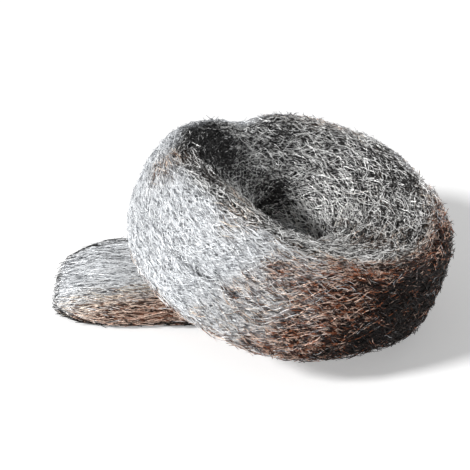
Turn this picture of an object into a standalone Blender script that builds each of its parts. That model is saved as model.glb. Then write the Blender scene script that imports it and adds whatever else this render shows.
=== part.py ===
"""A roll of steel wool, with no core: one long ribbon of steel strands wound on itself, its turns showing as ridges on
both ends. The inner turns have sunk into a crater. The ribbon's drawn-out end lies flat on the floor under the coil's
left side, so the coil leans to the right on it.

Metres, +Z up. The origin is on the floor, straight under the middle of the coil. The drawn-out end runs towards -X.
"""

import math

import bmesh
import bpy
from mathutils import Matrix, Vector

# The ribbon and the coil wound from it
RIBBON_WIDTH = 0.100  # edge to edge, which is the coil's height at its rim
TURN_THICKNESS = 0.0105  # one turn, squeezed by the next
TURNS = 7.5
HOLLOW_RADIUS = 0.030
WALL_BELLY = 0.017  # how far the outer wall swells past the coil's edges
SLIM_SHARE, SLIM_ANGLE = 0.65, math.radians(-42)  # how much less it swells at the lower right front
HOLLOW_BELLY = 0.003  # how far the innermost turn swells into the hollow
CRATER_DEPTH = 0.038  # how far the innermost turn has sunk below the rim
CRATER_CURVE = 1.25
UNDERSIDE_DISH = 0.005
EDGE_GROOVE = 0.0035  # between two turns, on both ends
RIM_DROP = 0.005  # how far the outermost turn's edges round off
LOOSE_END_SHARE = 0.3  # thickness left at the ribbon's two ends, as a share of a turn
LOOSE_END_ARC = math.radians(50)
SEAM_ANGLE = math.radians(20)  # where the ribbon's outer end lies, on the right and to the back

# Bundles of strands that stand out of the wall and of the turns' crests
TUFT_HEIGHT = 0.0026  # crest to hollow
TUFTS_A_TURN = 9.4  # not a whole number, so that each turn's lie beside the next one's gaps
TUFT_SHIFT = 2.6  # radians from one row up the wall to the next, so that neighbours alternate

# How the soft coil departs from a true cylinder
OVAL, OVAL_ANGLE = 0.012, math.radians(-40)
LEFT_TAPER = 0.085  # how much the left side draws in towards its upper edge, as a share of the radius
RIM_WAVE, RIM_HIGH_ANGLE = 0.0065, math.radians(45)  # the rim is high at the back right and the front left
RIM_DIP, RIM_DIP_ANGLE = 0.010, math.radians(115)  # a notch in the far rim
RIM_DIP_RIGHT, RIM_DIP_LEFT = math.radians(6), math.radians(15)  # how wide it is to each side

LOW_LIFT, LOW_LIFT_ANGLE, LOW_LIFT_WIDTH = 0.015, math.radians(-48), math.radians(34)  # the lower front right edge

# How the coil stands
LEAN = math.radians(16)  # to the right, towards +X
FOOT_SQUASH = 0.006  # how far the lower edge is pressed flat

# The drawn-out end
TAIL_REACH = 0.190  # from the coil's middle to the tail's torn end
TAIL_WIDTH = 0.107  # the loosened ribbon has spread a little
TAIL_THICKNESS = 0.025
TAIL_BUNCH = 0.009  # how much thicker it is where it is bunched up under the coil
TAIL_TUCK = 0.020  # how far it goes past the coil's middle, underneath
TAIL_SIDESTEP = 0.016  # its middle line lies this far to the back of the coil's middle
TAIL_END_TAPER = 0.050  # the length over which the torn end narrows
TAIL_END_WIDTH = 0.046
TAIL_END_BLUNTNESS = 0.6  # under 1, so that the corners are full
TAIL_END_THICKNESS = 0.016
TAIL_END_SHIFT = 0.004  # the torn end keeps nearer the front edge
TAIL_CREASES = (-0.36, -0.15, 0.04, 0.22, 0.39)  # places across the top, as shares of the width
CREASE_DEPTH, CREASE_WIDTH = 0.0035, 0.006
CREASE_WAVE = 0.045  # a crease runs shallow and deep again over this length
TAIL_PRESS = 0.0015  # how far its underside is pressed flat on the floor

# Mesh density
STATIONS_A_TURN = 64
ACROSS_A_TURN = 3
ROWS_UP_THE_WALL = 16
ROWS_TO_THE_EDGES = 0.35  # 0 spaces the rows evenly, 1 crowds them towards both edges
TAIL_STATIONS = 24
TAIL_STATION_GROWTH = 1.6  # over 1, so that they are closest at the torn end
TAIL_SECTION_POINTS = 28

STEEL_COLOUR = (0.42, 0.42, 0.43, 1.0)
STEEL_ROUGHNESS = 0.45
SHARP_ANGLE = math.radians(60)

EDGE_RADIUS = HOLLOW_RADIUS + TURN_THICKNESS * TURNS
LAST_STATION = round(TURNS * STATIONS_A_TURN)


def smooth_step(value):
    """0 below 0, 1 above 1, and a smooth rise between them."""
    value = min(max(value, 0.0), 1.0)
    return value * value * (3 - 2 * value)


def coil_centre_height():
    """Height of the coil's middle when its lower edge presses on the floor by FOOT_SQUASH."""
    lowest = EDGE_RADIUS * math.sin(LEAN) + RIBBON_WIDTH / 2 * math.cos(LEAN)
    return lowest - FOOT_SQUASH


def softened(radius, angle, height):
    """The radius once the soft coil is a little oval and drawn in at the upper left."""
    oval = OVAL * math.cos(2 * (angle - OVAL_ANGLE))
    up = max(0.5 + height / RIBBON_WIDTH, 0.0)
    left = max(-math.cos(angle), 0.0)
    return radius * (1 + oval - LEFT_TAPER * up * left)


def share_outwards(radius):
    """0 at the hollow and 1 at the coil's edge."""
    return min(max((radius - HOLLOW_RADIUS) / (EDGE_RADIUS - HOLLOW_RADIUS), 0.0), 1.0)


def top_height(radius, angle):
    """Height of the turns' upper crests over the coil's mid-plane: a crater inside a rounded, uneven rim."""
    outwards = share_outwards(radius)
    crater = CRATER_DEPTH * (1 - outwards) ** CRATER_CURVE
    rounding = RIM_DROP * outwards**8
    off_dip = math.remainder(angle - RIM_DIP_ANGLE, 2 * math.pi)
    dip_width = RIM_DIP_LEFT if off_dip > 0 else RIM_DIP_RIGHT
    dip = RIM_DIP * outwards**2 * math.exp(-((off_dip / dip_width) ** 2))
    wave = RIM_WAVE * outwards * math.cos(2 * (angle - RIM_HIGH_ANGLE))
    return RIBBON_WIDTH / 2 - crater - rounding - dip + wave


def bottom_height(radius, angle):
    """Height of the turns' lower crests over the mid-plane."""
    outwards = share_outwards(radius)
    dish = UNDERSIDE_DISH * (1 - outwards)
    rounding = RIM_DROP * outwards**8
    off_lift = math.remainder(angle - LOW_LIFT_ANGLE, 2 * math.pi)
    lift = LOW_LIFT * outwards**2 * math.exp(-((off_lift / LOW_LIFT_WIDTH) ** 2))
    return -RIBBON_WIDTH / 2 + dish + rounding + lift


def turn_angle(station):
    """Angle wound so far at this station, from the ribbon's inner end."""
    return 2 * math.pi * station / STATIONS_A_TURN


def line_radius(station, column):
    """Radius before softening. The ribbon's two ends thin out along LOOSE_END_ARC."""
    wound = turn_angle(station)
    start = HOLLOW_RADIUS + TURN_THICKNESS * wound / (2 * math.pi)
    across = column / ACROSS_A_TURN
    thinning = 1 - LOOSE_END_SHARE
    from_inner_end = wound / LOOSE_END_ARC
    from_outer_end = (turn_angle(LAST_STATION) - wound) / LOOSE_END_ARC
    if from_inner_end < 1:
        across = 1 - (1 - across) * (1 - thinning * (1 - smooth_step(from_inner_end)))
    if from_outer_end < 1:
        across *= 1 - thinning * (1 - smooth_step(from_outer_end))
    return start + TURN_THICKNESS * across


def groove_depth(station, column, row):
    """How far the ribbon's edge is sunk beside its crest. On the outer wall, only its outer end makes a groove."""
    depth = EDGE_GROOVE * (1 - math.sin(math.pi * column / ACROSS_A_TURN)) ** 2
    if station >= LAST_STATION - STATIONS_A_TURN:
        if 0 < row < ROWS_UP_THE_WALL:
            return 0.0
        if column == ACROSS_A_TURN:
            from_seam = turn_angle(station + STATIONS_A_TURN - LAST_STATION)
            depth *= 1 - smooth_step(from_seam / LOOSE_END_ARC)
    return depth


def wall_swell(station, column, angle, up):
    """How far the wall stands off its edge at this share of the height: out on the outer wall, in on the hollow's."""
    arch = 4 * up * (1 - up)
    if station >= LAST_STATION - STATIONS_A_TURN:
        slim = SLIM_SHARE * max(math.cos(angle - SLIM_ANGLE), 0.0) ** 0.7
        return WALL_BELLY * math.sqrt(arch) * (1 - slim)
    return -HOLLOW_BELLY * arch if column == 0 or station == 0 else 0.0


def tuft(station, row):
    """How far the bundle of strands here stands out, or is sunk. The ribbon's ends and what they touch are plain."""
    from_ends = min(abs(station - end) for end in (0, LAST_STATION - STATIONS_A_TURN, LAST_STATION))
    fading = smooth_step(2 * turn_angle(from_ends) / LOOSE_END_ARC)
    return TUFT_HEIGHT / 2 * fading * math.cos(TUFTS_A_TURN * turn_angle(station) + TUFT_SHIFT * row)


def standing(radius, angle, height):
    """A point of the coil, leant over and set down on the floor, where its lower edge is pressed flat."""
    radius = softened(radius, angle, height)
    point = Vector((radius * math.cos(angle), radius * math.sin(angle), height))
    point = Matrix.Rotation(LEAN, 3, "Y") @ point
    point.z = max(point.z + coil_centre_height(), 0.0)
    return point


def coil_point(station, column, row):
    """The place of one vertex: so far along the ribbon, across its thickness and up its width."""
    radius = line_radius(station, column)
    seam = SEAM_ANGLE - turn_angle(LAST_STATION)
    angle = seam + turn_angle(station)
    even = row / ROWS_UP_THE_WALL
    up = even + ROWS_TO_THE_EDGES * ((1 - math.cos(math.pi * even)) / 2 - even)
    groove = groove_depth(station, column, row)
    low = bottom_height(radius, angle) + groove
    high = top_height(radius, angle) - groove
    if 0 < column < ACROSS_A_TURN:
        low -= tuft(station, 0)
        high += tuft(station, 0)
    height = low + (high - low) * up
    if 0 < row < ROWS_UP_THE_WALL and station >= LAST_STATION - STATIONS_A_TURN:
        radius += tuft(station, row)
    return standing(radius + wall_swell(station, column, angle, up), angle, height)


def shared_key(station, column, row):
    """A turn's outer side is the next turn's inner side, so both have the same vertices."""
    if column == ACROSS_A_TURN and station + STATIONS_A_TURN <= LAST_STATION:
        return station + STATIONS_A_TURN, 0, row
    return station, column, row


def mesh_object(name, made):
    """A finished bmesh as an object of that name, with its faces pointing out."""
    bmesh.ops.recalc_face_normals(made, faces=made.faces)
    mesh = bpy.data.meshes.new(name)
    made.to_mesh(mesh)
    made.free()
    result = bpy.data.objects.new(name, mesh)
    bpy.context.collection.objects.link(result)
    return result


def wound_coil():
    """The coil as one closed solid: a spiral of ridges on each end, joined by the outer wall and the hollow's wall."""
    made = bmesh.new()
    known = {}

    def vertex(station, column, row):
        key = shared_key(station, column, row)
        if key not in known:
            known[key] = made.verts.new(coil_point(*key))
        return known[key]

    def patch(first, second, row):
        """A face between two upright lines, each a (station, column), one row high."""
        corners = [(*first, row), (*second, row), (*second, row + 1), (*first, row + 1)]
        made.faces.new([vertex(*corner) for corner in corners])

    for station in range(LAST_STATION):
        for column in range(ACROSS_A_TURN):
            for row in (0, ROWS_UP_THE_WALL):
                corners = [
                    (station, column, row),
                    (station + 1, column, row),
                    (station + 1, column + 1, row),
                    (station, column + 1, row),
                ]
                made.faces.new([vertex(*corner) for corner in corners])
    for row in range(ROWS_UP_THE_WALL):
        for station in range(STATIONS_A_TURN):
            patch((station, 0), (station + 1, 0), row)
            outer = LAST_STATION - STATIONS_A_TURN + station
            patch((outer, ACROSS_A_TURN), (outer + 1, ACROSS_A_TURN), row)
        for column in range(ACROSS_A_TURN):
            for end in (0, LAST_STATION):
                patch((end, column), (end, column + 1), row)
    return mesh_object("steel_wool", made)


def tail_width_and_thickness(x):
    """The tail's width, its thickness and how far its middle line is shifted to the front, at this place along X."""
    from_end = min((x + TAIL_REACH) / TAIL_END_TAPER, 1.0)
    whole = math.sin(math.pi / 2 * from_end) ** TAIL_END_BLUNTNESS if from_end > 0 else 0.0
    width = TAIL_END_WIDTH + (TAIL_WIDTH - TAIL_END_WIDTH) * whole
    thickness = TAIL_END_THICKNESS + (TAIL_THICKNESS - TAIL_END_THICKNESS) * whole
    bunched = smooth_step((x + EDGE_RADIUS) / EDGE_RADIUS)
    return width, thickness + TAIL_BUNCH * bunched, TAIL_END_SHIFT * (1 - whole)


def tail_section(x):
    """The points round the tail at this place along X: a soft pillow, creased on top and flat on the floor."""
    width, thickness, shift = tail_width_and_thickness(x)
    middle = TAIL_SIDESTEP - shift
    points = []
    for step in range(TAIL_SECTION_POINTS):
        turn = 2 * math.pi * step / TAIL_SECTION_POINTS
        aside = math.copysign(math.sqrt(abs(math.cos(turn))), math.cos(turn)) / 2
        lift = math.copysign(math.sqrt(abs(math.sin(turn))), math.sin(turn)) / 2
        z = (lift + 0.5) * (thickness + TAIL_PRESS) - TAIL_PRESS
        if lift > 0:
            for crease in TAIL_CREASES:
                off = (aside - crease) * width / CREASE_WIDTH
                share = 0.65 + 0.35 * math.sin(2 * math.pi * (x / CREASE_WAVE + 1.6 * crease))
                z -= CREASE_DEPTH * share * math.exp(-off * off)
        points.append(Vector((x, middle + aside * width, max(z, 0.0))))
    return points


def drawn_out_end():
    """The tail as a closed solid, from its torn end to where it is tucked under the coil."""
    made = bmesh.new()
    rings = []
    length = TAIL_REACH + TAIL_TUCK
    for station in range(TAIL_STATIONS + 1):
        x = -TAIL_REACH + length * (station / TAIL_STATIONS) ** TAIL_STATION_GROWTH
        rings.append([made.verts.new(point) for point in tail_section(x)])
    for near, far in zip(rings, rings[1:]):
        for step in range(TAIL_SECTION_POINTS):
            following = (step + 1) % TAIL_SECTION_POINTS
            made.faces.new([near[step], near[following], far[following], far[step]])
    made.faces.new(rings[0])
    made.faces.new(rings[-1])
    return mesh_object("drawn_out_end", made)


def joined(base, addition):
    """base with the addition joined to it by a union, so that they are one body."""
    union = base.modifiers.new("join the drawn-out end", "BOOLEAN")
    union.operation = "UNION"
    union.object = addition
    addition.hide_render = True
    addition.display_type = "WIRE"
    return base


def steel_finish():
    material = bpy.data.materials.new("steel_strands")
    material.use_nodes = True
    shader = material.node_tree.nodes["Principled BSDF"]
    shader.inputs["Base Color"].default_value = STEEL_COLOUR
    shader.inputs["Metallic"].default_value = 1.0
    shader.inputs["Roughness"].default_value = STEEL_ROUGHNESS
    return material


def main():
    for old in list(bpy.data.objects):
        bpy.data.objects.remove(old)
    roll = joined(wound_coil(), drawn_out_end())
    roll.data.materials.append(steel_finish())
    roll.data.shade_smooth()
    roll.data.set_sharp_from_angle(angle=SHARP_ANGLE)


main()
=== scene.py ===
# Looks of the steel wool roll: the wound solid becomes a dark felt, with thousands of steel strands over it.
import math

import bmesh
import bpy
import numpy as np
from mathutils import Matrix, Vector


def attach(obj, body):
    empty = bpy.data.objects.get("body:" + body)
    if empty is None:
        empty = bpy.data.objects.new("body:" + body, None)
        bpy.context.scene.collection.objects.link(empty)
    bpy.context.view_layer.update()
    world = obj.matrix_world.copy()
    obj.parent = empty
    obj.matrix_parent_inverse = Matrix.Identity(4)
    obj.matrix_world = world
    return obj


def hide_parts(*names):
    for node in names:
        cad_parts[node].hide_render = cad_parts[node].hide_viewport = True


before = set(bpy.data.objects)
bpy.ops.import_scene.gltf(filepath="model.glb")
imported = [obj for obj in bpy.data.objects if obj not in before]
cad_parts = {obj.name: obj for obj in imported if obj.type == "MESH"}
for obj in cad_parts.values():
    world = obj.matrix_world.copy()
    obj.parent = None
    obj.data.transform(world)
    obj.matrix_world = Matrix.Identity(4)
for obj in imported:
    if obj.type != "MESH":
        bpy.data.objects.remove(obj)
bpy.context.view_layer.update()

mm = 0.001

coil = {
    "lean": math.radians(16),
    "middle": Vector((0, 0, 72 * mm)),
    "windingRadius": 100 * mm,  # of a middling turn, to give a turn's angle a length
}
coilAxis = Vector((math.sin(coil["lean"]), 0, math.cos(coil["lean"])))
middleSpot = tuple(coil["middle"])
axisWay = tuple(coilAxis)


class Wire:
    # a node's socket that can be used in Python expressions
    def __init__(self, net, socket):
        self.net, self.socket = net, socket

    def __add__(self, other):
        return self.net.combine("ADD", self, other)

    __radd__ = __add__

    def __sub__(self, other):
        return self.net.combine("SUBTRACT", self, other)

    def __rsub__(self, other):
        return self.net.combine("SUBTRACT", other, self)

    def __mul__(self, other):
        return self.net.combine("MULTIPLY", self, other)

    __rmul__ = __mul__

    def __truediv__(self, other):
        return self.net.combine("DIVIDE", self, other)

    def __pow__(self, other):
        return self.net.combine("POWER", self, other)


def isVector(value):
    if isinstance(value, Wire):
        return value.socket.type in ("VECTOR", "RGBA")
    return not isinstance(value, (int, float))


class Net:
    # builds one node tree, of a material or of Geometry Nodes
    def __init__(self, tree):
        self.tree = tree

    def add(self, kind, settings=None, sockets=None, out=0):
        made = self.tree.nodes.new(kind)
        for name, value in (settings or {}).items():
            setattr(made, name, value)
        for key, value in (sockets or {}).items():
            if isinstance(value, Wire):
                self.tree.links.new(value.socket, made.inputs[key])
            else:
                made.inputs[key].default_value = value
        return Wire(self, made.outputs[out])

    def other(self, wire, out):
        # another output of the node that the wire comes from
        return Wire(self, wire.socket.node.outputs[out])

    def combine(self, operation, first, second):
        if not isVector(first) and not isVector(second):
            return self.math(operation, first, second)
        if isVector(first) and isVector(second):
            return self.vector(operation, first, second)
        vector, factor = (first, second) if isVector(first) else (second, first)
        return self.add("ShaderNodeVectorMath", {"operation": "SCALE"}, {0: vector, "Scale": factor})

    def math(self, operation, *values):
        return self.add("ShaderNodeMath", {"operation": operation}, dict(enumerate(values)))

    def vector(self, operation, *values, out="Vector"):
        return self.add("ShaderNodeVectorMath", {"operation": operation}, dict(enumerate(values)), out=out)

    def most(self, first, second):
        return self.math("MAXIMUM", first, second)

    def dot(self, first, second):
        return self.vector("DOT_PRODUCT", first, second, out="Value")

    def cross(self, first, second):
        return self.vector("CROSS_PRODUCT", first, second)

    def unit(self, vector):
        return self.vector("NORMALIZE", vector)

    def length(self, vector):
        return self.vector("LENGTH", vector, out="Value")

    def split(self, vector):
        x = self.add("ShaderNodeSeparateXYZ", {}, {0: vector})
        return x, self.other(x, "Y"), self.other(x, "Z")

    def join(self, x=0.0, y=0.0, z=0.0):
        return self.add("ShaderNodeCombineXYZ", {}, {"X": x, "Y": y, "Z": z})

    def noise(self, vector, scale=1.0, detail=1.0, out=0):
        sockets = {"Vector": vector, "Scale": scale, "Detail": detail}
        return self.add("ShaderNodeTexNoise", {}, sockets, out=out)

    def ramp(self, value, low, high, toLow=0.0, toHigh=1.0):
        sockets = {"Value": value, "From Min": low, "From Max": high, "To Min": toLow, "To Max": toHigh}
        return self.add("ShaderNodeMapRange", {"interpolation_type": "SMOOTHSTEP"}, sockets)

    def blend(self, factor, first, second):
        settings = {"data_type": "RGBA", "clamp_factor": True}
        return self.add("ShaderNodeMix", settings, {"Factor": factor, "A": first, "B": second}, out="Result")


guide = {
    "mergeDistance": 0.01 * mm,
    "tailBelow": -50.4 * mm,  # anything lower than this in the coil's own height is the drawn-out end
    "endFacing": 0.5,  # a face turned more than this towards the coil's axis belongs to one of its ends
    "hollowReach": 41 * mm,
    "rimAbove": 33 * mm,
    "rimFrom": 99 * mm,
}
regions = {"wall": 0, "crater": 1, "underside": 2, "tail": 3, "rim": 4}


def coilHeight(point):
    return (point - coil["middle"]).dot(coilAxis)


def coilRadius(point):
    return (point - coil["middle"] - coilHeight(point) * coilAxis).length


def regionOf(face):
    height = coilHeight(face.center)
    facing = face.normal.dot(coilAxis)
    if height < guide["tailBelow"]:
        return regions["tail"]
    if height > guide["rimAbove"] and coilRadius(face.center) > guide["rimFrom"]:
        return regions["rim"]
    if facing > guide["endFacing"] or coilRadius(face.center) < guide["hollowReach"]:
        return regions["crater"]
    return regions["underside"] if facing < -guide["endFacing"] else regions["wall"]


def makeGuide(source):
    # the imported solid's surface, whose faces say which region they are in
    made = bmesh.new()
    made.from_mesh(source.data)
    bmesh.ops.remove_doubles(made, verts=made.verts, dist=guide["mergeDistance"])
    mesh = bpy.data.meshes.new("guide")
    made.to_mesh(mesh)
    made.free()
    mesh.shade_smooth()
    marks = mesh.attributes.new("region", "INT", "FACE")
    marks.data.foreach_set("value", [regionOf(face) for face in mesh.polygons])
    return mesh


def placed(mesh, name):
    piece = bpy.data.objects.new(name, mesh)
    bpy.context.scene.collection.objects.link(piece)
    return piece


def newTree(name, inputs):
    # a Geometry Nodes tree with these named inputs; gives its Net, the inputs as wires and the output node
    tree = bpy.data.node_groups.new(name, "GeometryNodeTree")
    for label, (kind, value) in inputs.items():
        socket = tree.interface.new_socket(name=label, in_out="INPUT", socket_type=kind)
        if value is not None:
            socket.default_value = value
    tree.interface.new_socket(name="Strands", in_out="OUTPUT", socket_type="NodeSocketGeometry")
    net = Net(tree)
    start = tree.nodes.new("NodeGroupInput")
    given = {socket.name: Wire(net, socket) for socket in start.outputs if socket.name in inputs}
    return net, given, tree.nodes.new("NodeGroupOutput")


def setInputs(modifier, values):
    # inputs are set by their sockets' identifiers
    for item in modifier.node_group.interface.items_tree:
        if item.item_type == "SOCKET" and item.in_out == "INPUT" and item.name in values:
            modifier[item.identifier] = values[item.name]


def keep(net, geometry, label, kind, value):
    settings = {"data_type": kind, "domain": "POINT"}
    sockets = {"Geometry": geometry, "Name": label, "Value": value}
    return net.add("GeometryNodeStoreNamedAttribute", settings, sockets)


def kept(net, label, kind):
    return net.add("GeometryNodeInputNamedAttribute", {"data_type": kind}, {"Name": label}, out="Attribute")


def drawn(net, low, high, strand, seed):
    # a random number that is the same all along a strand
    sockets = {2: low, 3: high, "ID": strand, "Seed": seed}
    return net.add("FunctionNodeRandomValue", {"data_type": "FLOAT"}, sockets, out=1)


def nearest(net, mesh, value, place):
    sockets = {"Mesh": mesh, "Value": value, "Sample Position": place}
    return net.add("GeometryNodeSampleNearestSurface", {"data_type": "FLOAT_VECTOR"}, sockets)


strandInputs = {
    "Guide": ("NodeSocketGeometry", None),
    "Region": ("NodeSocketInt", 0),
    "Strands per m2": ("NodeSocketFloat", 50000.0),
    "Seed": ("NodeSocketInt", 1),
    "Shortest": ("NodeSocketFloat", 15 * mm),
    "Longest": ("NodeSocketFloat", 40 * mm),
    "Thickness": ("NodeSocketFloat", 0.8 * mm),
    "Deepest": ("NodeSocketFloat", -2 * mm),
    "Highest": ("NodeSocketFloat", 1.5 * mm),
    "End Lift": ("NodeSocketFloat", 1 * mm),
    "Slant": ("NodeSocketFloat", 0.2),
    "Crimp": ("NodeSocketFloat", 1 * mm),
    "Crimps per m": ("NodeSocketFloat", 60.0),
    "Bend": ("NodeSocketFloat", 10.0),
    "Lift Power": ("NodeSocketFloat", 4.0),
    "Points": ("NodeSocketInt", 5),
    "Overhang": ("NodeSocketFloat", 8 * mm),
    "Material": ("NodeSocketMaterial", None),
}
strandShape = {
    "sides": 3,
    "floorGap": 0.5 * mm,
    "thinnest": 0.55,  # shares of the thickness
    "thickest": 1.25,
    "tipShare": 0.6,
    "phases": 1000.0,  # strands take their crimps from places this far apart
}


def rootedLines(net, given):
    # one line for each strand, with its root kept on its points
    settings = {"data_type": "INT", "operation": "EQUAL"}
    chosen = net.add("FunctionNodeCompare", settings, {2: kept(net, "region", "INT"), 3: given["Region"]})
    sockets = {
        "Mesh": given["Guide"],
        "Selection": chosen,
        "Density": given["Strands per m2"],
        "Seed": given["Seed"],
    }
    roots = net.add("GeometryNodeDistributePointsOnFaces", {"distribute_method": "RANDOM"}, sockets)
    rootNormal = net.other(roots, "Normal")
    roots = keep(net, roots, "root", "FLOAT_VECTOR", net.add("GeometryNodeInputPosition"))
    roots = keep(net, roots, "rootNormal", "FLOAT_VECTOR", rootNormal)
    roots = keep(net, roots, "strand", "INT", net.add("GeometryNodeInputIndex"))
    line = net.add("GeometryNodeCurvePrimitiveLine", {}, {"End": (1, 0, 0)})
    line = net.add("GeometryNodeResampleCurve", {}, {"Curve": line, "Count": given["Points"]})
    strands = net.add("GeometryNodeInstanceOnPoints", {}, {"Points": roots, "Instance": line})
    return net.add("GeometryNodeRealizeInstances", {}, {"Geometry": strands})


def woundCourse(net, root, normal, reach, slant):
    # round the coil's axis, as the ribbon is wound
    out = root - middleSpot
    out = out - net.dot(out, axisWay) * axisWay
    along = net.unit(net.cross(axisWay, out))
    aside = net.unit(net.cross(normal, along)) * (reach * slant)
    angle = reach / net.length(out)
    sockets = {"Vector": root + aside, "Center": middleSpot, "Axis": axisWay, "Angle": angle}
    return net.add("ShaderNodeVectorRotate", {"rotation_type": "AXIS_ANGLE"}, sockets)


def straightCourse(net, root, normal, reach, slant):
    aside = net.unit(net.cross(normal, (1, 0, 0))) * (reach * slant)
    return root + aside + net.join(reach)


def pastTornEnd(net, given, spot, course, strand):
    # the torn end's strands run on past it
    x, y, z = net.split(spot)
    overhang = given["Overhang"] * drawn(net, 0.0, 1.0, strand, 4)
    return net.join(net.most(net.split(course)[0], x - overhang), y, z)


def tubes(net, given, lines, strand, tip):
    # the strands' bodies, thinner towards both ends and closed there
    drawnShare = drawn(net, strandShape["thinnest"], strandShape["thickest"], strand, 7)
    radius = given["Thickness"] * 0.5 * drawnShare * (1.0 - tip * (1 - strandShape["tipShare"]))
    sockets = {"Resolution": strandShape["sides"], "Radius": 1.0}
    profile = net.add("GeometryNodeCurvePrimitiveCircle", {"mode": "RADIUS"}, sockets)
    sockets = {"Curve": lines, "Profile Curve": profile, "Scale": radius, "Fill Caps": True}
    return net.add("GeometryNodeCurveToMesh", {}, sockets)


def strandTree(name, alongCoil):
    # strands rooted on the guide's region; each follows the winding, or runs straight along X
    net, given, end = newTree(name, strandInputs)
    strands = rootedLines(net, given)
    root = kept(net, "root", "FLOAT_VECTOR")
    normal = kept(net, "rootNormal", "FLOAT_VECTOR")
    strand = kept(net, "strand", "INT")
    share = net.add("GeometryNodeSplineParameter") - 0.5
    reach = share * drawn(net, given["Shortest"], given["Longest"], strand, 1)
    slant = drawn(net, -1.0, 1.0, strand, 2) * given["Slant"]
    slant = slant + reach * given["Bend"] * drawn(net, -1.0, 1.0, strand, 9)

    follow = woundCourse if alongCoil else straightCourse
    course = follow(net, root, normal, reach, slant)
    spot = nearest(net, given["Guide"], net.add("GeometryNodeInputPosition"), course)
    up = net.unit(nearest(net, given["Guide"], net.add("GeometryNodeInputNormal"), course))
    if not alongCoil:
        spot = pastTornEnd(net, given, spot, course, strand)

    depth = drawn(net, given["Deepest"], given["Highest"], strand, 3)
    tip = net.math("ABSOLUTE", share * 2.0) ** 2.0  # 1 at both ends of a strand
    lift = given["End Lift"] * drawn(net, 0.0, 1.0, strand, 6) ** given["Lift Power"]
    phase = drawn(net, 0.0, strandShape["phases"], strand, 5)
    crimp = net.noise(net.join(reach * given["Crimps per m"], phase), out="Color") - (0.5, 0.5, 0.5)
    x, y, z = net.split(spot + up * (depth + tip * lift) + crimp * (given["Crimp"] * 2.0))
    place = net.join(x, y, net.most(z, strandShape["floorGap"]))
    strands = net.add("GeometryNodeSetPosition", {}, {"Geometry": strands, "Position": place})

    strands = keep(net, strands, "tone", "FLOAT", drawn(net, 0.0, 1.0, strand, 8))
    strands = tubes(net, given, strands, strand, tip)
    strands = net.add("GeometryNodeSetShadeSmooth", {}, {0: strands})
    strands = net.add("GeometryNodeRealizeInstances", {}, {"Geometry": strands})
    strands = net.add("GeometryNodeSetMaterial", {}, {"Geometry": strands, "Material": given["Material"]})
    net.tree.links.new(strands.socket, end.inputs["Strands"])
    return net.tree


# Where the crater's painted shade, the rust, the painted black shade down to the right and the painted shade
# in creases lie.
# A pair says where a share begins and where it is full. Across goes down and to the right, out goes away from
# the coil's axis, and above and below are heights along it.
shadeAndRust = {
    "cloudScale": 34.0,
    "tailBelow": (-50 * mm, -54 * mm),
    "craterIn": (110 * mm, 101 * mm),
    "craterAbove": (-30 * mm, -8 * mm),
    "craterWander": 16 * mm,
    "downRightFrom": 66 * mm,
    "downRightSlope": 0.6,
    "downRightWander": 110 * mm,
    "rustAcross": (-86 * mm, 36 * mm),
    "rustOut": (92 * mm, 114 * mm),
    "rustBelow": (56 * mm, 43 * mm),
    "rustLeast": 0.1,
    "frontwards": (60 * mm, -50 * mm),
    "backShare": 0.5,
    "edgeRustBelow": (-30 * mm, -44 * mm),
    "edgeRustShare": 0.6,
    "edgeWander": 20 * mm,
    # painted shade: where the near black lies, down to the right, low on the coil and strongest at its front
    "blackAcross": (-5 * mm, 80 * mm),
    "blackOut": (100 * mm, 118 * mm),
    "blackBelow": (52 * mm, 34 * mm),
    "blackLeast": 0.15,
    "blackFront": 1.6,
    "blackBack": 0.6,
    "wobble": 16 * mm,
    # painted shade: a dark line along the crease between the outer turns
    "creaseAbove": 3.5 * mm,
    "creaseFrom": 45 * mm,
    "creaseSlope": 0.1,
    "creaseReach": 2.2 * mm,
    "creaseAcross": (20 * mm, -10 * mm),
    "creaseFrontwards": (-20 * mm, -60 * mm),
    "creaseDarker": -0.13,
    "blackDarker": -0.09,
}
tailShadeAndRust = {
    "topAt": 20 * mm,
    "downSlope": 1.2,
    "bareFrom": 140 * mm,
    "bareSlope": 0.45,
    "rustWander": 40 * mm,
    "rustFrontDown": (-12 * mm, 60 * mm),
    # painted shade along the drawn-out end's lower edge, the top of its back edge and its torn tip
    "under": (10 * mm, 3 * mm),
    "underWander": 14 * mm,
    "underFrontwards": (66 * mm, 50 * mm),
    "underLeast": 0.4,
    "taperFrom": -140 * mm,
    "taperLength": 50 * mm,
    "taper": 28 * mm,
    "back": (58 * mm, 64 * mm),
    "backTop": (7 * mm, 13 * mm),
    "backLeast": 0.35,
    "tip": (-185 * mm, -191 * mm),
    "tipWander": 12 * mm,
    "outlineShare": 0.8,
    # painted shade: the streaks are dark lines along the drawn-out end, where shade falls between its layers
    "streaks": [  # where each dark line lies across, and its reach
        (35 * mm, 1.8 * mm),
        (-14 * mm, 1.4 * mm),
        (-29 * mm, 1.4 * mm),
    ],
}
lightShadeAndRustPatches = [  # places with painted light and shade, some with rust: the middle, how far it reaches, how much paler or darker, the share of rust
    (Vector((-16, 31, 82)) * mm, 27 * mm, -0.14, 0.0),
    (Vector((14, 28, 62)) * mm, 26 * mm, 0.14, 0.0),
    (Vector((-62, 22, 128)) * mm, 54 * mm, -0.18, 0.0),
    (Vector((-64, 58, 130)) * mm, 40 * mm, -0.15, 0.0),
    (Vector((-66, -36, 136)) * mm, 26 * mm, -0.11, 0.1),
    (Vector((-42, -46, 124)) * mm, 28 * mm, 0.0, 0.35),
    (Vector((33, 20, 82)) * mm, 38 * mm, 0.06, 0.0),
    (Vector((92, 58, 97)) * mm, 46 * mm, -0.07, 0.0),
    (Vector((-12, 100, 118)) * mm, 50 * mm, -0.07, 0.0),
    (Vector((-92, -20, 141)) * mm, 34 * mm, -0.05, 0.3),
    (Vector((-40, -86, 132)) * mm, 30 * mm, -0.01, 0.25),
    (Vector((62, -42, 85)) * mm, 46 * mm, -0.03, 0.25),
]


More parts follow.
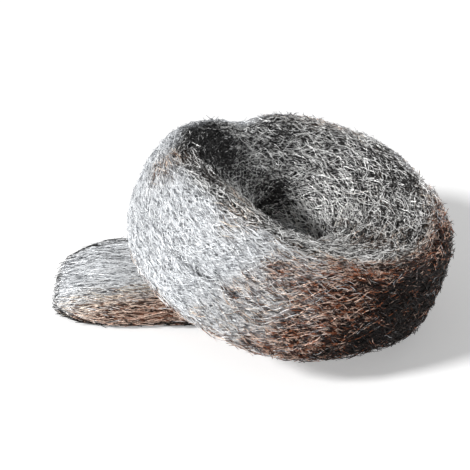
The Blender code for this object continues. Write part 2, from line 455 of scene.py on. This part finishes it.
def readPlace(net):
    # what the materials know of a point: Object coordinates, its share of the drawn-out end, its distance
    # from the coil's axis and height along it, and its place as metres along the strands, across them and up
    place = net.add("ShaderNodeTexCoord", out="Object")
    out = place - middleSpot
    height = net.dot(out, axisWay)
    out = out - axisWay * height
    radius = net.length(out)
    right = tuple(coilAxis.cross(Vector((0, 1, 0))) * -1)
    turn = net.math("ARCTAN2", net.dot(out, (0, 1, 0)), net.dot(out, right))
    tail = net.ramp(height, *shadeAndRust["tailBelow"])
    wound = net.join(turn * coil["windingRadius"], radius, height)
    course = wound * (1.0 - tail) + place * tail
    return {"place": place, "tail": tail, "radius": radius, "height": height, "course": course}


def near(net, value, reach):
    # 1 where the value is 0, fading out over the reach to both sides
    return net.ramp(net.math("ABSOLUTE", value), reach, reach * 0.25)


def tailEdgeShade(net, x, y, z, cloud):
    # painted shade: the darkened outline of the drawn-out end, along its lower edge, the top of its back edge
    # and its torn tip
    under = net.ramp(z + cloud * tailShadeAndRust["underWander"], *tailShadeAndRust["under"])
    under = under * net.ramp(y, *tailShadeAndRust["underFrontwards"], tailShadeAndRust["underLeast"])
    tapering = net.math("MINIMUM", (x - tailShadeAndRust["taperFrom"]) / tailShadeAndRust["taperLength"], 0.0)
    back = net.ramp(y + tapering * tapering * tailShadeAndRust["taper"], *tailShadeAndRust["back"])
    back = back * net.ramp(z, *tailShadeAndRust["backTop"], tailShadeAndRust["backLeast"])
    tip = net.ramp(x + cloud * tailShadeAndRust["tipWander"], *tailShadeAndRust["tip"])
    return net.most(under, net.most(back, tip) * tailShadeAndRust["outlineShare"])


def regionMasks(net, known):
    # shares for the crater's painted shade, rust and the painted black shade, and how much paler or darker a
    # place is, which is painted light and shade
    place, tail, radius, height = (known[name] for name in ("place", "tail", "radius", "height"))
    cloud = net.noise(place, shadeAndRust["cloudScale"], 3.0) - 0.5
    x, y, z = net.split(place)
    # painted shade: the crater's inside takes the darker crater colours, standing in for the shade in the
    # hollow
    craterShade = net.ramp(radius + cloud * shadeAndRust["craterWander"], *shadeAndRust["craterIn"])
    craterShade = craterShade * net.ramp(height, *shadeAndRust["craterAbove"])

    downRight = x - (z - shadeAndRust["downRightFrom"]) * shadeAndRust["downRightSlope"]
    downRight = downRight + cloud * shadeAndRust["downRightWander"]
    front = net.ramp(y, *shadeAndRust["frontwards"], shadeAndRust["backShare"])  # the worst of both is at the front
    rust = net.ramp(downRight, *shadeAndRust["rustAcross"])
    rust = rust * net.ramp(radius, *shadeAndRust["rustOut"], shadeAndRust["rustLeast"])
    rust = rust * net.ramp(height, *shadeAndRust["rustBelow"], shadeAndRust["rustLeast"]) * front
    lowEdge = net.ramp(height + cloud * shadeAndRust["edgeWander"], *shadeAndRust["edgeRustBelow"])
    rust = net.most(rust, lowEdge * shadeAndRust["edgeRustShare"]) * (1.0 - tail)
    frontDown = (tailShadeAndRust["topAt"] - z) * tailShadeAndRust["downSlope"] - y
    frontDown = frontDown + (x + tailShadeAndRust["bareFrom"]) * tailShadeAndRust["bareSlope"]
    frontDown = frontDown + cloud * tailShadeAndRust["rustWander"]
    rust = net.most(rust, tail * net.ramp(frontDown, *tailShadeAndRust["rustFrontDown"]))

    # painted shade: near black down to the right, low on the coil and at its front, where it lies in shade
    shadeBlack = net.ramp(downRight, *shadeAndRust["blackAcross"])
    shadeBlack = shadeBlack * net.ramp(radius, *shadeAndRust["blackOut"], shadeAndRust["blackLeast"])
    shadeBlack = shadeBlack * (1.0 - tail) * net.ramp(height, *shadeAndRust["blackBelow"])
    shadeBlack = shadeBlack * (front * shadeAndRust["blackFront"] - shadeAndRust["blackBack"])
    shadeBlack = net.most(shadeBlack, tail * tailEdgeShade(net, x, y, z, cloud))

    # painted shade: a dark line along the crease between the outer turns, and dark lines along the drawn-out
    # end
    wobble = cloud * shadeAndRust["wobble"]
    creaseShade = height - shadeAndRust["creaseAbove"] + (x + shadeAndRust["creaseFrom"]) * shadeAndRust["creaseSlope"]
    creaseShade = near(net, creaseShade + wobble * 0.5, shadeAndRust["creaseReach"]) * (1.0 - tail)
    creaseShade = creaseShade * net.ramp(x, *shadeAndRust["creaseAcross"]) * net.ramp(y, *shadeAndRust["creaseFrontwards"])
    for across, reach in tailShadeAndRust["streaks"]:
        creaseShade = net.most(creaseShade, tail * near(net, y - across + wobble * 0.5, reach))
    lightShadeShift = creaseShade * shadeAndRust["creaseDarker"] + shadeBlack * shadeAndRust["blackDarker"]
    # painted light and shade: each patch makes a place paler or darker, and some add rust
    for middle, reach, change, brown in lightShadeAndRustPatches:
        patch = net.ramp(net.length(place - tuple(middle)) + wobble, reach, 0.0)
        lightShadeShift = lightShadeShift + patch * change
        rust = net.most(rust, patch * brown) if brown else rust
    return craterShade, rust, shadeBlack, lightShadeShift


# Each colour pair is the darkest and the palest, and the levels beside it say which grain shows them.
steel = {
    "metallic": 0.4,
    "roughness": 0.34,
    "wall": [(0.33, 0.34, 0.36, 1), (0.94, 0.96, 0.98, 1)],
    "wallLevels": (0.36, 0.48),
    # painted shade: the crater pair is the same steel made darker, for the shade in the hollow
    "crater": [(0.02, 0.02, 0.02, 1), (1.0, 1.0, 0.99, 1)],
    "craterLevels": (0.41, 0.54),
    # rust is the steel's own colour; the dark end of the rust pair, strongest down to the right, is partly
    # painted shade
    "paleRust": [(0.22, 0.15, 0.11, 1), (0.97, 0.88, 0.76, 1)],
    "rust": [(0.035, 0.010, 0.006, 1), (0.86, 0.62, 0.50, 1)],
    "rustLevels": (0.45, 0.54),
    "toneSpread": 0.16,  # how much paler or darker whole strands are, beside the grain's flecks
    "craterToneSpread": 0.28,
    "craterGrain": 0.7,
    "wallUnderRust": 0.03,  # how much lower the wall's level lies where there is rust
    "rustDarker": 0.01,
    "tailPaler": 0.06,
    "deepRust": 1.25,  # how soon pale rust gives way to dark, and how much later on the tail
    "tailDeepRust": 0.4,
    "orange": (0.42, 0.14, 0.06, 1),
    "orangeLevels": (0.54, 0.59),
    "tailOrange": 0.5,
    "rustScatter": 0.9,  # how unlike each other strands are where rust begins
    "rustMixed": 0.75,  # the least share of brown in a strand that isn't rusted yet
    "bareShare": (0.97, 0.93),  # the few strands above this share never rust
    "blackShare": 0.9,
    "blackDepth": 0.95,
    "turnOver": (0.0, 0.1),  # how quickly a strand goes over to rust or to black
    # painted shade: the black of the lower right and of the drawn-out end's outline
    "shadeBlack": (0.0, 0.0, 0.0, 1),
}
felt = {
    "inset": 2.2 * mm,
    "metallic": 0.2,
    "roughness": 0.6,
    "wall": [(0.15, 0.155, 0.165, 1), (0.92, 0.93, 0.95, 1)],
    "wallLevels": (0.36, 0.50),
    # painted shade: the crater pair is near black, for the shade in the hollow
    "crater": [(0.002, 0.002, 0.002, 1), (0.13, 0.13, 0.13, 1)],
    "craterLevels": (0.46, 0.64),
    "rust": [(0.006, 0.002, 0.0015, 1), (0.26, 0.11, 0.06, 1)],
    "rustLevels": (0.48, 0.66),
    "ridgeSpread": 0.16,
    "lightShadeGain": 1.5,
    "wallUnderRust": 0.08,
    "tailPaler": 0.06,
    "rustGain": 1.4,
    "blackShare": 0.9,
    # painted shade: the black of the lower right and of the drawn-out end's outline
    "shadeBlack": (0.0, 0.0, 0.0, 1),
    "layers": [(0.5, 0.0), (-0.4, 7.0), (0.05, 3.0)],  # the slant of each layer of fibres, and its seed
    "ridges": {"Strength": 0.7, "Distance": 1.5 * mm},
}
grain = {"flecks": (160.0, 440.0, 440.0), "ridgesAlong": 90.0, "ridgesAcross": 700.0, "ridgeSharpness": 8.0}


def newMaterial(name, finish):
    material = bpy.data.materials.new(name)
    material.use_nodes = True
    net = Net(material.node_tree)
    shader = material.node_tree.nodes["Principled BSDF"]
    shader.inputs["Metallic"].default_value = finish["metallic"]
    shader.inputs["Roughness"].default_value = finish["roughness"]
    return material, net, shader


def plug(net, wire, shader, socket):
    net.tree.links.new(wire.socket, shader.inputs[socket])


def makeGrain(net, course):
    # two sorts of flecks, each some millimetres long and lying along the strands
    noise = net.noise(course * grain["flecks"], 1.0, 2.0, out="Color")
    red = net.add("ShaderNodeSeparateColor", {}, {0: noise}, out="Red")
    return red, net.other(red, "Green")


def shade(net, finish, name, level, levels):
    return net.blend(net.ramp(level, *finish[levels]), *finish[name])


def scattered(net, tone, times):
    # another number from 0 to 1 for each strand, made from its tone by an odd factor
    return net.math("FRACT", tone * times)


def strandFinish():
    material, net, shader = newMaterial("steelStrands", steel)
    known = readPlace(net)
    tail = known["tail"]
    craterShade, rust, blackShade, lightShadeShift = regionMasks(net, known)
    tone = net.add("ShaderNodeAttribute", {"attribute_name": "tone"}, out="Fac")
    flecks, spots = makeGrain(net, known["course"])
    level = flecks + (tone - 0.5) * steel["toneSpread"] + lightShadeShift
    onWall = shade(net, steel, "wall", level - rust * steel["wallUnderRust"], "wallLevels")
    craterLevel = (flecks - 0.5) * steel["craterGrain"] + 0.5
    craterLevel = craterLevel + (tone - 0.5) * steel["craterToneSpread"] + lightShadeShift
    # painted shade: the crater's colours are darker, for the shade in the hollow
    shadedCrater = shade(net, steel, "crater", craterLevel, "craterLevels")
    rustLevel = level + tail * steel["tailPaler"] - rust * steel["rustDarker"]
    browned = [shade(net, steel, kind, rustLevel, "rustLevels") for kind in ("paleRust", "rust")]
    browned = net.blend(rust * steel["deepRust"] - tail * steel["tailDeepRust"], *browned)
    orangeShare = net.ramp(spots, *steel["orangeLevels"]) * rust * (1.0 - tail * steel["tailOrange"])
    browned = net.blend(orangeShare, browned, steel["orange"])
    rusted = net.ramp(rust - scattered(net, tone, 91.3) * steel["rustScatter"], *steel["turnOver"])
    rusted = net.most(rusted, rust * steel["rustMixed"])
    rusted = rusted * net.ramp(scattered(net, tone, 53.9), *steel["bareShare"])
    colour = net.blend(rusted, net.blend(craterShade, onWall, shadedCrater), browned)
    # painted shade: strands turn black where the painted black shade lies
    blackShadeShare = net.ramp(blackShade * steel["blackShare"] - scattered(net, tone, 71.7), *steel["turnOver"])
    plug(net, net.blend(blackShadeShare * steel["blackDepth"], colour, steel["shadeBlack"]), shader, "Base Color")
    return material


def fibres(net, course, slant, seed):
    # thin ridges that run along the strands, tilted by the slant
    along, across, up = net.split(course)
    along, across = along * grain["ridgesAlong"] + seed, (across + along * slant) * grain["ridgesAcross"]
    noise = net.noise(net.join(along, across, up * grain["ridgesAcross"]))
    return 1.0 - net.math("ABSOLUTE", noise - 0.5) * grain["ridgeSharpness"]


def feltFinish():
    material, net, shader = newMaterial("steelFelt", felt)
    known = readPlace(net)
    craterShade, rust, blackShade, lightShadeShift = regionMasks(net, known)
    first, second, third = (fibres(net, known["course"], slant, seed) for slant, seed in felt["layers"])
    ridges = net.most(net.most(first, second), third)
    flecks, spots = makeGrain(net, known["course"])
    level = flecks + (ridges - 0.5) * felt["ridgeSpread"] + lightShadeShift * felt["lightShadeGain"]
    onWall = shade(net, felt, "wall", level - rust * felt["wallUnderRust"], "wallLevels")
    # painted shade: the crater's near black stands in for the shade in the hollow
    shadedCrater = shade(net, felt, "crater", level, "craterLevels")
    browned = shade(net, felt, "rust", level + known["tail"] * felt["tailPaler"], "rustLevels")
    colour = net.blend(rust * rust * felt["rustGain"], net.blend(craterShade, onWall, shadedCrater), browned)
    # painted shade: the felt turns black where the painted black shade lies
    plug(net, net.blend(blackShade * felt["blackShare"], colour, felt["shadeBlack"]), shader, "Base Color")
    bump = net.add("ShaderNodeBump", {}, {"Height": ridges, **felt["ridges"]})
    plug(net, bump, shader, "Normal")
    return material


def makeFelt(mesh):
    made = mesh.copy()
    made.name = "woundFelt"
    for vertex in made.vertices:
        vertex.co -= vertex.normal * felt["inset"]
    made.attributes.remove(made.attributes["region"])
    made.materials.clear()
    made.materials.append(feltFinish())
    return placed(made, "woundFelt")


wallForm = {
    "Points": 5,
    "Shortest": 6 * mm,
    "Longest": 17 * mm,
    "Thickness": 0.75 * mm,
    "Deepest": -2.6 * mm,
    "Highest": 0.6 * mm,
    "Slant": 0.7,
    "Crimp": 1.8 * mm,
    "Crimps per m": 150.0,
    "Bend": 45.0,
    "End Lift": 2.0 * mm,
}
craterForm = {
    "Points": 6,
    "Shortest": 7 * mm,
    "Longest": 19 * mm,
    "Thickness": 0.74 * mm,
    "Deepest": -2.2 * mm,
    "Highest": 1.6 * mm,
    "Slant": 0.7,
    "Crimp": 2.0 * mm,
    "Crimps per m": 150.0,
    "Bend": 50.0,
    "End Lift": 2.5 * mm,
}
rimForm = {
    **craterForm,
    "Longest": 18 * mm,
    "Deepest": -2.4 * mm,
    "Highest": 1.0 * mm,
    "Slant": 0.6,
    "End Lift": 5.0 * mm,
    "Lift Power": 6.0,
}
tailForm = {
    **wallForm,
    "Shortest": 8 * mm,
    "Longest": 32 * mm,
    "Slant": 0.3,
    "Crimp": 1.6 * mm,
    "Crimps per m": 110.0,
    "Bend": 16.0,
    "Overhang": 2 * mm,
}
strandSets = {  # the crossings lie more aslant, among the strands of the same region
    "wallStrands": ("wall", {**wallForm, "Strands per m2": 120000.0, "Seed": 11}),
    "wallCrossings": ("wall", {**wallForm, "Strands per m2": 80000.0, "Seed": 21, "Slant": 1.3}),
    "craterStrands": ("crater", {**craterForm, "Strands per m2": 90000.0, "Seed": 12}),
    "craterCrossings": ("crater", {**craterForm, "Strands per m2": 45000.0, "Seed": 22, "Slant": 1.6}),
    "rimStrands": ("rim", {**rimForm, "Strands per m2": 190000.0, "Seed": 15}),
    "undersideStrands": ("underside", {**wallForm, "Strands per m2": 70000.0, "Seed": 13}),
    "tailStrands": ("tail", {**tailForm, "Strands per m2": 130000.0, "Seed": 14}),
}
capReach = 0.6  # in the map, how far a strand's end face stands out, as a share of the way from ring to ring


def mapStrands(mesh, points):
    # a map for baking, with one upright cell for each strand: along it goes up the cell, round it goes across
    sides = strandShape["sides"]
    corners = np.empty(len(mesh.loops), dtype=np.int64)
    mesh.loops.foreach_get("vertex_index", corners)
    strand, rest = np.divmod(corners, points * sides)
    up, around = (part.astype(float) for part in np.divmod(rest, sides))
    totals = np.empty(len(mesh.polygons), dtype=np.int64)
    mesh.polygons.foreach_get("loop_total", totals)
    face = np.repeat(np.arange(len(totals)), totals)
    last = np.zeros(len(totals), dtype=bool)
    np.logical_or.at(last, face, around == sides - 1)
    quad = totals[face] == 4
    around[quad & last[face] & (around == 0)] = sides  # the side that closes the tube
    outwards = np.where(up > 0, capReach, -capReach)
    up[~quad] += (outwards * (around == 1))[~quad]
    across = math.ceil(math.sqrt(strand.max() + 1))
    column, row = strand % across, strand // across
    u = (column + (around + 0.5) / (sides + 1)) / across
    v = (row + (up + 1.0) / (points + 1)) / across
    layer = mesh.uv_layers.new(name="OFBake")
    layer.data.foreach_set("uv", np.stack([u, v], axis=1).ravel())


def grow(name, mesh, tree, material, values):
    grown = placed(mesh.copy(), name)
    modifier = grown.modifiers.new("strands", "NODES")
    modifier.node_group = tree
    setInputs(modifier, {**values, "Material": material})
    made = bpy.data.meshes.new_from_object(grown.evaluated_get(bpy.context.evaluated_depsgraph_get()))
    made.name = name
    bpy.data.objects.remove(grown)
    for spare in ("root", "rootNormal", "strand", "region"):
        if spare in made.attributes:
            made.attributes.remove(made.attributes[spare])
    made.materials.clear()
    made.materials.append(material)
    mapStrands(made, values["Points"])
    triangles = sum(len(face.vertices) - 2 for face in made.polygons)
    print(name, "has", triangles, "triangles")
    return placed(made, name)


print("Taking the wound solid's surface")
guideMesh = makeGuide(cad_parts["steel_wool"])
print("Laying the felt and the strands")
pieces = [makeFelt(guideMesh)]
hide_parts("steel_wool")
strandMaterial = strandFinish()
woundTree = strandTree("strands along the winding", True)
straightTree = strandTree("strands along the drawn-out end", False)
for name, (region, values) in strandSets.items():
    tree = straightTree if region == "tail" else woundTree
    pieces.append(grow(name, guideMesh, tree, strandMaterial, {**values, "Region": regions[region]}))
for piece in pieces:
    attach(piece, "root")

print("Setting the stage")
stage = {"size": 4.0, "below": 0.2 * mm, "colour": (0.82, 0.82, 0.82, 1), "lift": 0.32}


def sawBackground(net):
    # 1 for the rays that show the white surroundings, 0 for those that light the object
    camera = net.add("ShaderNodeLightPath", out="Is Camera Ray")
    direct = net.most(camera, net.other(camera, "Is Glossy Ray"))
    return net.most(direct, net.other(camera, "Is Transmission Ray"))


def makeFloor():
    mesh = bpy.data.meshes.new("floor")
    half = stage["size"] / 2
    corners = [(-half, -half), (half, -half), (half, half), (-half, half)]
    mesh.from_pydata([(x, y, -stage["below"]) for x, y in corners], [], [(0, 1, 2, 3)])
    material = bpy.data.materials.new("paleFloor")
    material.use_nodes = True
    net = Net(material.node_tree)
    nodes = material.node_tree.nodes
    nodes.remove(nodes["Principled BSDF"])
    paint = net.add("ShaderNodeBsdfDiffuse", {}, {"Color": stage["colour"]})
    glow = net.add("ShaderNodeEmission", {}, {"Strength": sawBackground(net) * stage["lift"]})
    both = net.add("ShaderNodeAddShader", {}, {0: paint, 1: glow})
    plug(net, both, nodes["Material Output"], "Surface")
    mesh.materials.append(material)
    return placed(mesh, "floor")


makeFloor()

light = {
    "towards": Vector((-0.75, -0.35, 0.6)),
    "strength": 3.4,
    "softness": math.radians(10),
    "world": 0.32,
}


def makeLights():
    lamp = bpy.data.lights.new("key", "SUN")
    lamp.energy = light["strength"]
    lamp.angle = light["softness"]
    key = bpy.data.objects.new("key", lamp)
    key.rotation_euler = light["towards"].to_track_quat("Z", "Y").to_euler()
    bpy.context.scene.collection.objects.link(key)
    world = bpy.data.worlds.new("studio")
    world.use_nodes = True
    net = Net(world.node_tree)
    background = world.node_tree.nodes["Background"]
    background.inputs["Color"].default_value = (1, 1, 1, 1)
    plug(net, sawBackground(net) * (1 - light["world"]) + light["world"], background, "Strength")
    bpy.context.scene.world = world


makeLights()

view = {
    "aim": Vector((-43.5 * mm, 0, 66 * mm)),
    "distance": 0.95,
    "elevation": math.radians(32),
    "lens": 91.7,
    "sensor": 36,
}


def makeCamera():
    camera = bpy.data.cameras.new("camera")
    camera.lens = view["lens"]
    camera.sensor_width = view["sensor"]
    seat = bpy.data.objects.new("camera", camera)
    back = Vector((0, -math.cos(view["elevation"]), math.sin(view["elevation"])))
    seat.location = view["aim"] + back * view["distance"]
    seat.rotation_euler = back.to_track_quat("Z", "Y").to_euler()
    bpy.context.scene.collection.objects.link(seat)
    bpy.context.scene.camera = seat


makeCamera()
bpy.context.scene.view_settings.view_transform = "Standard"
